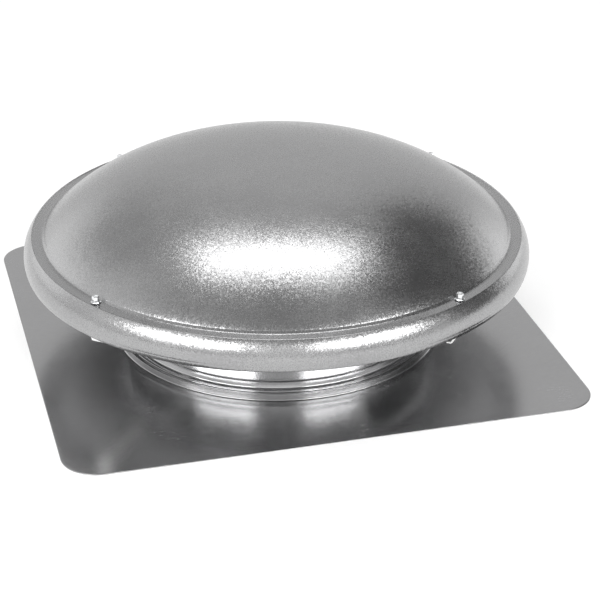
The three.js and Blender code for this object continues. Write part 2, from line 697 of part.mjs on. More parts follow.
// A foot on the arm, and a cup wall round the can's lower end.
function capacitorClamp() {
  const inner = CAPACITOR_R + GAP;
  return join(
    ring(0, inner + 1.2, BOX_Z, BOX_Z + 1.2, 18),
    ring(inner, inner + 1.2, BOX_Z + 0.6, BOX_Z + 18, 18),
    block([inner - 1, -9, BOX_Z], [inner + 12, 9, BOX_Z + 1.2]),
  ).translate(CAPACITOR_AT_R, 0, 0);
}

add("capacitor", capacitor, aluminium, capacitorTurn);
add("capacitor_clamp", capacitorClamp(), galvanised, capacitorTurn);

export default fan;
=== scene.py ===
"""The looks of the domed roof exhaust fan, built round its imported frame.

Pieces are modelled in millimetres and scaled to metres when their meshes are made. +Z is up, the origin is
the centre of the flashing's underside, and the flashing's front edge faces -Y.
"""

from math import atan2, cos, exp, hypot, pi, radians, sin, sqrt, tan, tau

import bmesh
import bpy
from mathutils import Matrix, Vector


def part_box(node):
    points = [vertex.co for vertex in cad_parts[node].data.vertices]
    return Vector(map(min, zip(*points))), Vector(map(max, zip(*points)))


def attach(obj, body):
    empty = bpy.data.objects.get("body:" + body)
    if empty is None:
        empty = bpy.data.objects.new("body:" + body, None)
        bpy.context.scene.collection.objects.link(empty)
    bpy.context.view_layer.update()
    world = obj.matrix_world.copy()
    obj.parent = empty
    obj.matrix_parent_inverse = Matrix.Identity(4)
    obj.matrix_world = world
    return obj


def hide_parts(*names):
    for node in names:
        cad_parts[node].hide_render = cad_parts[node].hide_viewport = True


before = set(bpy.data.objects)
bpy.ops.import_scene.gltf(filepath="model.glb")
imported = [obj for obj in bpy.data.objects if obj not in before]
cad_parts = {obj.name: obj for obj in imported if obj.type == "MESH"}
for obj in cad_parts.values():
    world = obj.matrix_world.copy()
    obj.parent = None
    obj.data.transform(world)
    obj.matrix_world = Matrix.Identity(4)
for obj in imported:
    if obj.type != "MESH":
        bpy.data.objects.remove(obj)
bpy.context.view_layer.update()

MM = 0.001
UP = Vector((0, 0, 1))
ON_AXIS = 1e-6  # a radius below this counts as zero
SHEET = 0.8
QUARTERS = range(1, 5)  # legs, bracket arms, hood screws and motor bolts


def box_mm(node):
    """A CAD node's lowest and highest corners, in millimetres."""
    low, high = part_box(node)
    return low / MM, high / MM


def centre_mm(node):
    low, high = box_mm(node)
    return (low + high) / 2


def heights_mm(node):
    """The heights of a CAD node's bottom and top, in millimetres."""
    low, high = box_mm(node)
    return low.z, high.z


# ---------- sizes, from the frame where it has them ----------

PLATE_HIGH = box_mm("base_flashing")[1]
HOOD_LOW, HOOD_HIGH = box_mm("hood_dome")
THROAT_LOW, THROAT_HIGH = box_mm("throat_collar")

PLATE_X = PLATE_HIGH.x
PLATE_Y = PLATE_HIGH.y
PLATE_CORNER_R = 42
NECK_R = 197
NECK_BEND_R = 1.5
NECK_EDGE_R = 0.4
NECK_TOP_Z = PLATE_HIGH.z
NECK_HOLE_R = 187

THROAT_R = 184
THROAT_BEAD_Z = 18.5
THROAT_FOOT_R = 192.5
FOOT_BEND_R = 1.5
FLARE_R = 3.6
THROAT_TOP_Z = THROAT_HIGH.z
THROAT_LIP_R = THROAT_HIGH.x

RIM_R = HOOD_HIGH.x
RIM_BOTTOM_Z = HOOD_LOW.z
RIM_WIDEST_Z = 106
RIM_ARC_R = 263.6  # middle of the arc from the rim's widest part up to the crease
RIM_ARC_HEIGHT = 36.1
RIM_BOW_R = 25  # the wall below the rim's widest part
RIM_EDGE_TURN = -22  # degrees along that wall to the curled edge
CURL_R = 2.5
CREASE_R = 292
CREASE_Z = 130.6
EDGE_R = 276.6  # foot of the dome
EDGE_Z = 132.7
APEX_Z = HOOD_HIGH.z

# A leg lies on the line through its rivet and its hood screw, and a bracket arm ends at the rivet.
FIRST_SCREW = centre_mm("dome_screw_1")
FIRST_RIVET = centre_mm("lip_rivet_1")
LEG_WAY = FIRST_SCREW - FIRST_RIVET
LEG_TURN = atan2(LEG_WAY.y, LEG_WAY.x)
LEG_OFFSET = FIRST_SCREW.x * sin(LEG_TURN) - FIRST_SCREW.y * cos(LEG_TURN)
BRACKET_TURN = atan2(FIRST_RIVET.y, FIRST_RIVET.x)
MOTOR_R = 42


def quarter_turn(number):
    return (number - 1) * tau / 4


# ---------- materials ----------

NOISE_LOW, NOISE_HIGH = 0.3, 0.7  # most of a noise's values lie between these


class Nodes:
    """A material's node tree, with short calls for the nodes it is made of."""

    def __init__(self, name, metallic, roughness, color):
        self.material = bpy.data.materials.new(name)
        self.material.use_nodes = True
        self.tree = self.material.node_tree
        self.shader = self.tree.nodes["Principled BSDF"]
        self.shader.inputs["Metallic"].default_value = metallic
        self.shader.inputs["Roughness"].default_value = roughness
        self.shader.inputs["Base Color"].default_value = (*color, 1)
        self.place = self.add("ShaderNodeTexCoord").outputs["Object"]

    def add(self, kind, **settings):
        node = self.tree.nodes.new(kind)
        for key, value in settings.items():
            setattr(node, key, value)
        return node

    def link(self, source, target):
        self.tree.links.new(source, target)

    def stretched(self, scale):
        """The object's own place, stretched along its axes."""
        node = self.add("ShaderNodeMapping")
        node.inputs["Scale"].default_value = scale
        self.link(self.place, node.inputs["Vector"])
        return node.outputs["Vector"]

    def noise(self, scale, detail, place=None, roughness=0.5):
        node = self.add("ShaderNodeTexNoise")
        node.inputs["Scale"].default_value = scale
        node.inputs["Detail"].default_value = detail
        node.inputs["Roughness"].default_value = roughness
        self.link(place or self.place, node.inputs["Vector"])
        return node.outputs["Fac"]

    def spread(self, value, low, high):
        """The middle range of a noise, spread over low to high."""
        node = self.add("ShaderNodeMapRange")
        node.inputs["From Min"].default_value = NOISE_LOW
        node.inputs["From Max"].default_value = NOISE_HIGH
        node.inputs["To Min"].default_value = low
        node.inputs["To Max"].default_value = high
        self.link(value, node.inputs["Value"])
        return node.outputs["Result"]

    def math(self, operation, a, b):
        node = self.add("ShaderNodeMath", operation=operation)
        for socket, value in zip(node.inputs, (a, b)):
            if isinstance(value, (int, float)):
                socket.default_value = value
            else:
                self.link(value, socket)
        return node.outputs["Value"]

    def blend(self, factor, first, second):
        """A colour between two colours."""
        node = self.add("ShaderNodeMix", data_type="RGBA")
        self.link(factor, node.inputs["Factor"])
        node.inputs["A"].default_value = (*first, 1)
        node.inputs["B"].default_value = (*second, 1)
        return node.outputs["Result"]

    def bump(self, height, distance, normal=None):
        """Relief whose full height is a distance in millimetres."""
        node = self.add("ShaderNodeBump")
        node.inputs["Distance"].default_value = distance * MM
        self.link(height, node.inputs["Height"])
        if normal is not None:
            self.link(normal, node.inputs["Normal"])
        return node.outputs["Normal"]

    def tilted(self, scale, amount, place):
        """A normal that leans a random way in each small crystal."""
        cells = self.add("ShaderNodeTexVoronoi")
        cells.inputs["Scale"].default_value = scale
        self.link(place, cells.inputs["Vector"])
        lean = self.add("ShaderNodeVectorMath", operation="MULTIPLY_ADD")
        lean.inputs[1].default_value = (amount,) * 3
        lean.inputs[2].default_value = (-amount / 2,) * 3
        self.link(cells.outputs["Color"], lean.inputs[0])
        total = self.add("ShaderNodeVectorMath", operation="ADD")
        self.link(lean.outputs["Vector"], total.inputs[0])
        self.link(self.add("ShaderNodeNewGeometry").outputs["Normal"], total.inputs[1])
        unit = self.add("ShaderNodeVectorMath", operation="NORMALIZE")
        self.link(total.outputs["Vector"], unit.inputs[0])
        return unit.outputs["Vector"]

    def set(self, socket, value):
        self.link(value, self.shader.inputs[socket])


def galvanised(
    name, base, lean=0.1, stretch=(1, 1, 1), waves=0.2, rough=0.25, speckle=0.2, dark=0.62
):
    """Hot-dip zinc: crystals that each lean their own way, soft waves and faint dull patches.

    The waves are in millimetres. Speckle is how strongly the fine noise darkens, and dark is the darkest
    brightness as a share of the base.
    """
    crystal_scale, grain_scale, speckle_scale = 850, 1500, 800
    wave_scale, patch_scale = 9, 14
    look = Nodes(name, 1, rough, (base, base, base))
    place = look.stretched(stretch)
    crystals = look.tilted(crystal_scale, lean, place)
    waves_normal = look.bump(look.noise(wave_scale, 1), waves, crystals)
    grain = look.noise(grain_scale, 2, place, 0.7)
    look.set("Normal", look.bump(grain, 0.012, waves_normal))
    dull = look.noise(patch_scale, 5, None, 0.6)
    fine = look.noise(speckle_scale, 2, place)
    rough_patches = look.spread(dull, rough - 0.03, rough + 0.05)
    look.set("Roughness", look.math("ADD", rough_patches, look.spread(fine, -0.03, 0.04)))
    shade = look.math("MULTIPLY", look.spread(dull, 0.85, 1), look.spread(fine, 1 - speckle, 1))
    look.set("Base Color", look.blend(shade, (base * dark,) * 3, (base, base, base * 1.01)))
    return look.material


def painted(name, color, roughness, orange_peel=0.02):
    """Enamel with a faint orange peel and a little dust."""
    look = Nodes(name, 0, roughness, color)
    look.set("Normal", look.bump(look.noise(900, 2), orange_peel))
    dust = look.noise(30, 5)
    dusty = tuple(c * 1.2 + 0.006 for c in color)
    look.set("Base Color", look.blend(look.spread(dust, 0, 1), color, dusty))
    look.set("Roughness", look.spread(dust, roughness - 0.05, roughness + 0.08))
    return look.material


def bare_metal(name, color, roughness, stretch=(1, 1, 1)):
    """Machined, plated or rolled metal with a fine directional grain."""
    look = Nodes(name, 1, roughness, color)
    place = look.stretched(stretch)
    grain = look.noise(1200, 3, place, 0.7)
    look.set("Normal", look.bump(grain, 0.01))
    patches = look.noise(60, 4)
    look.set("Roughness", look.spread(patches, roughness - 0.06, roughness + 0.08))
    darker = tuple(c * 0.8 for c in color)
    look.set("Base Color", look.blend(look.spread(grain, 0, 1), darker, color))
    return look.material


def moulded(name, color, roughness):
    """Plastic or rubber with a fine moulded texture."""
    look = Nodes(name, 0, roughness, color)
    texture = look.noise(2200, 2)
    look.set("Normal", look.bump(texture, 0.03))
    look.set("Roughness", look.spread(look.noise(40, 4), roughness - 0.06, roughness + 0.06))
    lighter = tuple(c * 1.25 + 0.004 for c in color)
    look.set("Base Color", look.blend(texture, color, lighter))
    return look.material


def laminated(name):
    """Stacked steel stampings: thin level lines round the stack."""
    dark, light = (0.09, 0.09, 0.1), (0.26, 0.26, 0.27)
    look = Nodes(name, 0.85, 0.5, (0.2, 0.2, 0.21))
    sheets = look.add("ShaderNodeTexWave", bands_direction="Z")
    sheets.inputs["Scale"].default_value = 320
    look.link(look.place, sheets.inputs["Vector"])
    look.set("Normal", look.bump(sheets.outputs["Fac"], 0.12))
    look.set("Base Color", look.blend(sheets.outputs["Fac"], dark, light))
    return look.material


def floor_finish():
    """Plain matt studio white."""
    look = Nodes("floor_white", 0, 0.9, (0.6, 0.6, 0.6))
    look.shader.inputs["Specular IOR Level"].default_value = 0
    look.shader.inputs["Emission Color"].default_value = (1, 1, 1, 1)
    look.shader.inputs["Emission Strength"].default_value = 0.4
    return look.material


DOME_ZINC = galvanised("dome_zinc", 0.44, speckle=0.5, dark=0.4)
INSIDE_ZINC = galvanised("hood_inside_zinc", 0.72)
PLATE_ZINC = galvanised("plate_zinc", 0.42, 0.015, (0.2, 1, 1), 0.08, 0.2)
THROAT_ZINC = galvanised("throat_zinc", 0.68, 0.015, (1, 1, 0.3), 0.08, 0.12)
SMALL_ZINC = galvanised("small_part_zinc", 0.5, 0.09, waves=0.1, rough=0.28)
PLATED = bare_metal("zinc_plated", (0.85, 0.86, 0.87), 0.15)
WIRE_ZINC = bare_metal("wire_zinc", (0.55, 0.56, 0.57), 0.38)
WING_ALUMINIUM = bare_metal("wing_aluminium", (0.7, 0.71, 0.72), 0.32, (0.15, 1, 1))
CAST_ALUMINIUM = bare_metal("cast_aluminium", (0.6, 0.61, 0.62), 0.42)
BLACK_PAINT = painted("black_enamel", (0.018, 0.018, 0.02), 0.35)
WHITE_PAINT = painted("white_enamel", (0.92, 0.92, 0.91), 0.4)
LAMINATED = laminated("laminations")
COPPER = bare_metal("copper_wire", (0.5, 0.2, 0.09), 0.35)
RUBBER = moulded("black_rubber", (0.018, 0.018, 0.018), 0.75)
GREY_PLASTIC = moulded("grey_plastic", (0.28, 0.29, 0.3), 0.5)
BLACK_PLASTIC = moulded("black_plastic", (0.02, 0.02, 0.022), 0.42)
CABLE_JACKET = moulded("cable_jacket", (0.028, 0.028, 0.03), 0.55)
PRINT = painted("white_print", (0.8, 0.8, 0.78), 0.5, 0.005)


# ---------- making meshes ----------


class Shape:
    """Points and faces that are put together before they become one object."""

    def __init__(self):
        self.points = []
        self.faces = []

    def merge(self, other, place=Matrix()):
        start = len(self.points)
        self.points += [place @ p for p in other.points]
        self.faces += [tuple(start + i for i in face) for face in other.faces]
        return self


def make_shape(name, shape, material, place=Matrix(), body="housing", sharp=32):
    """An object from a shape in millimetres. It rides on a body and takes its finish from a slot."""
    mesh = bpy.data.meshes.new(name)
    mesh.from_pydata([place @ p * MM for p in shape.points], [], shape.faces)
    mesh.validate()
    solid = bmesh.new()
    solid.from_mesh(mesh)
    bmesh.ops.recalc_face_normals(solid, faces=solid.faces)
    solid.to_mesh(mesh)
    solid.free()
    mesh.shade_smooth()
    mesh.set_sharp_from_angle(angle=radians(sharp))
    mesh.materials.append(material)
    piece = bpy.data.objects.new(name, mesh)
    bpy.context.scene.collection.objects.link(piece)
    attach(piece, body)
    return piece


def replace(node, shape, material, place=Matrix(), body="housing", sharp=32):
    """A finer piece in a CAD node's place."""
    piece = make_shape(node + "_fine", shape, material, place, body, sharp)
    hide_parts(node)
    return piece


def level(outline, z):
    """A ring of points at one height, from an outline of (x, y) points."""
    return [Vector((x, y, z)) for x, y in outline]


def skinned(rings, closed=False):
    """Rings of points, each joined to the next. The last joins the first, or both are covered."""
    count = len(rings[0])
    shape = Shape()
    for ring in rings:
        shape.points += ring
    for i in range(len(rings) if closed else len(rings) - 1):
        low, high = i * count, (i + 1) % len(rings) * count
        for k in range(count):
            n = (k + 1) % count
            shape.faces.append((low + k, low + n, high + n, high + k))
    if not closed:
        end = len(shape.points)
        shape.faces.append(tuple(reversed(range(count))))
        shape.faces.append(tuple(range(end - count, end)))
    return shape


def turned(profile, segments):
    """A profile of (radius, height) turned round Z. It is a closed loop, or runs from axis to axis."""
    on_axis = profile[0][0] < ON_AXIS
    shape = Shape()
    rings = []
    for radius, height in profile:
        start = len(shape.points)
        if radius < ON_AXIS:
            shape.points.append(Vector((0, 0, height)))
            rings.append([start] * segments)
        else:
            for i in range(segments):
                turn = tau * i / segments
                shape.points.append(Vector((radius * cos(turn), radius * sin(turn), height)))
            rings.append(list(range(start, start + segments)))
    for low, high in zip(rings, rings[1:] if on_axis else rings[1:] + rings[:1]):
        for i in range(segments):
            j = (i + 1) % segments
            corners = [low[i], low[j], high[j], high[i]]
            face = [k for n, k in enumerate(corners) if k != corners[n - 1]]
            if len(face) > 2:
                shape.faces.append(tuple(face))
    return shape


def rounded(points, radius, steps=3, closed=True):
    """The outline with each corner that has a positive x rounded off by up to a radius."""
    count = len(points)
    made = []
    for i, (x, y) in enumerate(points):
        before, after = points[i - 1], points[(i + 1) % count]
        if x < ON_AXIS or (not closed and i in (0, count - 1)):
            made.append((x, y))
            continue
        arms = []
        for px, py in (before, after):
            length = hypot(px - x, py - y)
            reach = min(radius, length * 0.45)
            arms.append((x + (px - x) / length * reach, y + (py - y) / length * reach))
        (ax, ay), (bx, by) = arms
        for k in range(steps + 1):
            t = k / steps
            u = 1 - t
            made.append((
                u * u * ax + 2 * u * t * x + t * t * bx,
                u * u * ay + 2 * u * t * y + t * t * by,
            ))
    return made


def offset_line(outer, thickness):
    """The other face of a sheet whose visible face follows the given points, which run up or inwards."""
    inner = []
    for i, (r, z) in enumerate(outer):
        r0, z0 = outer[max(i - 1, 0)]
        r1, z1 = outer[min(i + 1, len(outer) - 1)]
        scale = thickness / hypot(r1 - r0, z1 - z0)
        inner.append((0 if r == 0 else r - (z1 - z0) * scale, z + (r1 - r0) * scale))
    return inner


def sheet_loop(outer, thickness=SHEET):
    """The closed profile of a sheet with the given visible face."""
    return offset_line(outer, thickness)[::-1] + list(outer)


def ellipse_arc(centre_r, centre_z, reach, height, start, end, step):
    """Points of an upright ellipse's arc between two angles in degrees."""
    return [
        (centre_r + reach * cos(radians(a)), centre_z + height * sin(radians(a)))
        for a in range(start, end, step)
    ]


def prism(outline, low, high, bevel):
    """An outline of (x, y) points pushed up from low to high, with its edges eased."""
    middle = sum(level(outline, 0), Vector()) / len(outline)
    rings = []
    for z, inset in ((low, bevel), (low + bevel, 0), (high - bevel, 0), (high, bevel)):
        outwards = [p - middle for p in level(outline, 0)]
        rings.append([middle + out * (1 - inset / out.length) + UP * z for out in outwards])
    return skinned(rings)


def polygon(radius, sides, turn=0):
    turns = [turn + tau * i / sides for i in range(sides)]
    return [(radius * cos(t), radius * sin(t)) for t in turns]


def rectangle(x0, x1, y0, y1, radius):
    return rounded([(x0, y0), (x1, y0), (x1, y1), (x0, y1)], radius, 4)


def folded_strip(profile, width):
    """A closed profile in the X-Z plane, pushed to both sides of Y = 0. Narrow faces run along each edge."""
    half, margin = width / 2, 0.35
    return skinned([
        [Vector((x, y, z)) for x, z in profile]
        for y in (-half, -half + margin, half - margin, half)
    ])


def tube(path, radius, sides, closed=False):
    """A round bar along a path."""
    points = [Vector(p) for p in path]
    count = len(points)
    rings = []
    side = None
    for i, point in enumerate(points):
        before = points[i - 1] if i or closed else point
        after = points[(i + 1) % count] if i < count - 1 or closed else point
        ahead = (after - before).normalized()
        if side is None:
            side = ahead.orthogonal().normalized()
        side = (side - ahead * side.dot(ahead)).normalized()
        up = ahead.cross(side)
        rings.append([point + side * x + up * y for x, y in polygon(radius, sides)])
    return skinned(rings, closed)


def at(x=0, y=0, z=0):
    return Matrix.Translation((x, y, z))


def turn_z(angle):
    return Matrix.Rotation(angle, 4, "Z")


def lying_along_x():
    """Turns what stands on +Z to lie along +X."""
    return Matrix.Rotation(pi / 2, 4, "Y")


# ---------- flashing and throat ----------


def plate_outline():
    """Points round the flashing, closest together at its round corners."""
    corner_steps, edge_steps = 24, 40
    inner_x, inner_y = PLATE_X - PLATE_CORNER_R, PLATE_Y - PLATE_CORNER_R
    signs = [(1, -1), (1, 1), (-1, 1), (-1, -1)]

    def corner_point(quarter, turn):
        sign_x, sign_y = signs[quarter % 4]
        return (
            sign_x * inner_x + PLATE_CORNER_R * cos(turn),
            sign_y * inner_y + PLATE_CORNER_R * sin(turn),
        )

    points = []
    for quarter in range(4):
        end = quarter * pi / 2
        turns = [end - pi / 2 * (1 - k / corner_steps) for k in range(corner_steps)]
        points += [corner_point(quarter, turn) for turn in turns]
        (x0, y0), (x1, y1) = corner_point(quarter, end), corner_point(quarter + 1, end)
        for share in (k / edge_steps for k in range(edge_steps)):
            points.append((x0 + (x1 - x0) * share, y0 + (y1 - y0) * share))
    return points


def neck_line():
    """The flashing's upper face, from the flat sheet in to the upright neck and over to its level seat."""
    flat = [(r, SHEET) for r in (238, 231, 224, 217, 211, 206, 202)]
    bend_r, edge_r = NECK_BEND_R, NECK_EDGE_R
    bend = ellipse_arc(NECK_R + bend_r, SHEET + bend_r, bend_r, bend_r, 270, 179, -15)
    edge = ellipse_arc(NECK_R - edge_r, NECK_TOP_Z - edge_r, edge_r, edge_r, 0, 91, 30)
    return flat + bend + edge + [(THROAT_FOOT_R - 1, NECK_TOP_Z), (NECK_HOLE_R, NECK_TOP_Z)]


def flashing():
    top = neck_line()
    under = offset_line(top, SHEET)
    flat_start = top[0][0]
    flat_shares = [0.08, 0.25, 0.5, 0.75, 0.93, 0.985]
    # The sheared edge is eased a little on each face: how far in, and how far from that face.
    eased = ((0.5, 0), (0.12, 0.15), (0, 0.38))
    outline = level(plate_outline(), 0)

    def circle(r, z):
        return [p.normalized() * r + UP * z for p in outline]

    def towards_edge(share, z):
        return [p * (flat_start / p.length * (1 - share) + share) + UP * z for p in outline]

    def edge(inset, z):
        return [p * (1 - inset / p.length) + UP * z for p in outline]

    rings = [circle(r, z) for r, z in reversed(top)]
    rings += [towards_edge(share, SHEET) for share in flat_shares]
    rings += [edge(inset, SHEET - drop) for inset, drop in eased]
    rings += [edge(inset, drop) for inset, drop in reversed(eased)]
    rings += [towards_edge(share, 0) for share in reversed(flat_shares)]
    rings += [circle(r, z) for r, z in under]
    return skinned(rings, closed=True)


def throat():
    """A foot flange, a wall with a bead and a crease, and a flare out to a level lip."""
    foot_z, lip_z = THROAT_LOW.z + SHEET, THROAT_TOP_Z - SHEET
    bead_height, bead_step = 0.9, 0.3
    crease_depth = 0.5
    foot_edge = [
        (THROAT_FOOT_R, foot_z - 0.45),
        (THROAT_FOOT_R - 0.1, foot_z - 0.15),
        (THROAT_FOOT_R - 0.4, foot_z),
    ]
    bend_r = FOOT_BEND_R
    bend = ellipse_arc(THROAT_R + bend_r, foot_z + bend_r, bend_r, bend_r, 270, 179, -15)
    bead = [
        (THROAT_R + bead_height * exp(-(((k - 5) / 2) ** 2)), THROAT_BEAD_Z + bead_step * (k - 6))
        for k in range(8)
    ]
    crease = [
        (THROAT_R - crease_depth, THROAT_BEAD_Z + 0.9),
        (THROAT_R - crease_depth, THROAT_BEAD_Z + 1.2),
        (THROAT_R, THROAT_BEAD_Z + 1.8),
    ]
    wall = [(THROAT_R, THROAT_BEAD_Z + 4 + k * 8) for k in range(6)]
    flare = ellipse_arc(THROAT_R + FLARE_R, lip_z - FLARE_R, FLARE_R, FLARE_R, 165, 89, -15)
    lip = [(THROAT_LIP_R - 6, lip_z), (THROAT_LIP_R - 0.1, lip_z)]
    return turned(sheet_loop(foot_edge + bend + bead + crease + wall + flare + lip), 192)


replace("base_flashing", flashing(), PLATE_ZINC, sharp=50)
replace("throat_collar", throat(), THROAT_ZINC, sharp=50)


# ---------- hood ----------


def dome_height(r):
    """The dome's height at a radius: nearly level at the crown, and steepest at its foot."""
    flatness, fullness = 2.855, 0.917
    return EDGE_Z + (APEX_Z - EDGE_Z) * (1 - min(r / EDGE_R, 1) ** flatness) ** fullness


def hood_profile():
    """The hood's outer face, from its hem up over the rolled rim and the screw band to the crown."""
    lower = ellipse_arc(RIM_R - RIM_BOW_R, RIM_WIDEST_Z, RIM_BOW_R, RIM_BOW_R, RIM_EDGE_TURN, 0, 2)
    edge_r, edge_z = lower[0]
    # The rim's edge is curled inwards.
    curl_at_r = edge_r - CURL_R * cos(radians(RIM_EDGE_TURN))
    curl_at_z = edge_z - CURL_R * sin(radians(RIM_EDGE_TURN))
    hem = ellipse_arc(curl_at_r, curl_at_z, CURL_R, CURL_R, -260, RIM_EDGE_TURN, 14)
    # A shallow ring is pressed in above the curl.
    ring_depth, ring_z, ring_half = 0.25, edge_z + 5, 0.8
    lower = [(r - ring_depth * exp(-(((z - ring_z) / ring_half) ** 2)), z) for r, z in lower]
    upper = ellipse_arc(RIM_ARC_R, RIM_WIDEST_Z, RIM_R - RIM_ARC_R, RIM_ARC_HEIGHT, 0, 43, 3)
    # The rim's crest stands a little above the band, which meets it in a fine step.
    crest = [
        (CREASE_R - 0.15, CREASE_Z + 0.05), (CREASE_R - 0.45, CREASE_Z + 0.02),
        (CREASE_R - 0.65, CREASE_Z - 0.2), (CREASE_R - 0.75, CREASE_Z - 0.6),
    ]
    band = [
        (290.9, CREASE_Z - 0.75), (289.6, CREASE_Z - 0.75),
        (284, CREASE_Z - 0.5), (279.6, CREASE_Z - 0.3),
    ]
    foot = [(278.9, CREASE_Z + 0.1), (278.1, CREASE_Z + 0.8), (277.3, CREASE_Z + 1.5)]
    # The dome's rings lie closer together towards its foot.
    steps = 70
    crown = [EDGE_R * (1 - (i / steps) ** 1.7) for i in range(steps)]
    dome = [(r, dome_height(r)) for r in crown] + [(0, APEX_Z)]
    return hem + lower + upper + crest + band + foot + dome


def two_sided(piece, inside):
    """Gives the faces that look down or in towards the axis the inside finish."""
    piece.data.materials.append(inside)
    for face in piece.data.polygons:
        outward = face.center.x * face.normal.x + face.center.y * face.normal.y
        under_dome = face.normal.z < 0 and face.center.z > CREASE_Z * MM
        inside_rim = outward < 0 and face.normal.z < 0.3
        if under_dome or inside_rim:
            face.material_index = 1


hood_shape = turned(sheet_loop(hood_profile()), 256)
hood = replace("hood_dome", hood_shape, DOME_ZINC, sharp=60)
two_sided(hood, INSIDE_ZINC)


# ---------- screws, rivets, nuts and bolts ----------


def thread(low, high, radius, pitch=1.3, depth=0.35):
    """Ridges round a shank."""
    point, first_ridge = 0.6, 2.2
    profile = [(0, low), (radius * 0.3, low + point)]
    z = low + first_ridge
    while z + pitch < high:
        profile += [(radius - depth, z), (radius, z + pitch / 2)]
        z += pitch
    return turned(profile + [(radius - depth, z), (radius - depth, high), (0, high)], 24)


def hex_body(across, low, high, turn=0):
    """A hexagon with a turned chamfer on its upper corners and a shallow dish in its top."""
    levels = [(1, low), (1, high - 0.9), (0.93, high - 0.25), (0.84, high), (0.62, high), (0.5, high - 0.5)]
    return skinned([level(polygon(across * share, 6, turn), z) for share, z in levels])


def hood_screw():
    """A hex screw with a washer face, and its thread below the band."""
    low, top = heights_mm("dome_screw_1")
    seat = CREASE_Z + 0.3
    washer = [(0, seat), (5.7, seat), (5.5, seat + 0.9), (4.2, seat + 1.5), (0, seat + 1.5)]
    shape = turned(rounded(washer, 0.3), 48)
    shape.merge(hex_body(4.2, seat + 1.2, top, 0.3))
    return shape.merge(thread(low, seat + 0.3, 2.3))


def lip_rivet():
    low, high = heights_mm("lip_rivet_1")
    seat = high - 2.3
    shank = [(0, low), (3.4, low + 0.2), (3.6, low + 0.8), (2.3, low + 1.1), (2.3, seat), (4.5, seat)]
    head = ellipse_arc(0, seat + 0.3, 4.6, 2, 0, 90, 15)
    return turned(shank + head + [(0, high)], 40)


SCREW = hood_screw()
RIVET = lip_rivet()
for number in QUARTERS:
    screw_at = centre_mm(f"dome_screw_{number}")
    rivet_at = centre_mm(f"lip_rivet_{number}")
    spin = turn_z(number * 0.9)
    replace(f"dome_screw_{number}", SCREW, PLATED, at(screw_at.x, screw_at.y) @ spin)
    replace(f"lip_rivet_{number}", RIVET, PLATED, at(rivet_at.x, rivet_at.y))


# ---------- legs ----------

LEG_THICK = 1.5
LEG_WIDTH = 19
LEG_START = 158  # distances along a leg, from the point nearest the axis
LEG_BEND = 264.4
LEG_OUT = 273.5
LEG_END = 258


def hood_leg():
    """A strap that lies on the throat's lip, leans out as it rises past the rim, and ends in a tab."""
    low, high = heights_mm("hood_leg_1")
    outside = rounded([
        (LEG_START, low), (LEG_BEND, low), (LEG_OUT - 4.1, RIM_BOTTOM_Z), (LEG_OUT, RIM_WIDEST_Z - 2),
        (LEG_OUT, high), (LEG_END, high),
    ], 3, 6, closed=False)
    return folded_strip(sheet_loop(outside, LEG_THICK), LEG_WIDTH)


LEG = hood_leg()
for number in QUARTERS:
    leg_place = turn_z(LEG_TURN + quarter_turn(number)) @ at(0, -LEG_OFFSET)
    replace(f"hood_leg_{number}", LEG, WHITE_PAINT, leg_place)


# ---------- bird screen ----------


def bird_screen():
    """Welded square mesh, rolled into a cylinder."""
    low, high = heights_mm("bird_screen")
    pitch, wire, half_thick = 12.7, 0.45, 0.8
    radius = (box_mm("bird_screen")[1] - centre_mm("bird_screen")).x - half_thick
    upright_r, hoop_r = radius - wire, radius + wire * 0.6
    shape = Shape()
    for x, y in polygon(upright_r, round(tau * radius / pitch)):
        shape.merge(tube([(x, y, low), (x, y, high)], wire, 6))
    rows = round((high - low) / pitch)
    for row in range(rows + 1):
        z = low + wire + (high - low - 2 * wire) * row / rows
        # The top and bottom hoops are thicker.
        thick = wire * 1.8 if row in (0, rows) else wire
        shape.merge(tube(level(polygon(hoop_r, 96), z), thick, 6, closed=True))
    return shape


replace("bird_screen", bird_screen(), WIRE_ZINC)


# ---------- motor ----------


def motor_bracket():
    """A hub with four arms, whose ends are rounded, round a centre hole."""
    low, high = heights_mm("motor_bracket")
    hub_r, hole_r, half, ease = 52, 15, 13, 0.35
    reach = hypot(FIRST_RIVET.x, FIRST_RIVET.y) + 6
    hub_start = atan2(half, sqrt(hub_r ** 2 - half ** 2))
    arm_side = [50.3, 80, 110, 140, 170]
    arm_end = [(arm_side[-1], -half), (reach, -half), (reach, half), (arm_side[-1], half)]
    arm = [(x, -half) for x in arm_side[:-1]]
    arm += rounded(arm_end, 8, 6, False)
    arm += [(x, half) for x in arm_side[-2::-1]]
    hub_turns = [hub_start + (pi / 2 - 2 * hub_start) * k / 12 for k in range(1, 12)]
    hub = [(hub_r * cos(turn), hub_r * sin(turn)) for turn in hub_turns]
    outline = [turn_z(quarter_turn(number)) @ p for number in QUARTERS for p in level(arm + hub, 0)]
    eased = ((low, ease), (low + ease, 0), (high - ease, 0), (high, ease))
    rings = [[p * (1 - inset / p.length) + UP * z for p in outline] for z, inset in eased]
    rings += [[p.normalized() * hole_r + UP * z for p in outline] for z in (high, low)]
    return skinned(rings, closed=True)


def end_bell_lower():
    z, top = heights_mm("motor_end_bell_lower")
    return turned(rounded([
        (5.5, z), (17, z), (18, z + 1), (MOTOR_R - 6, z + 1), (MOTOR_R, z + 4), (MOTOR_R, top),
        (MOTOR_R - 2, top), (MOTOR_R - 2, z + 5), (14, z + 5), (14, z + 10),
        (11.3, z + 10), (11.3, z + 2), (5.5, z + 2),
    ], 1.4, 4), 96)


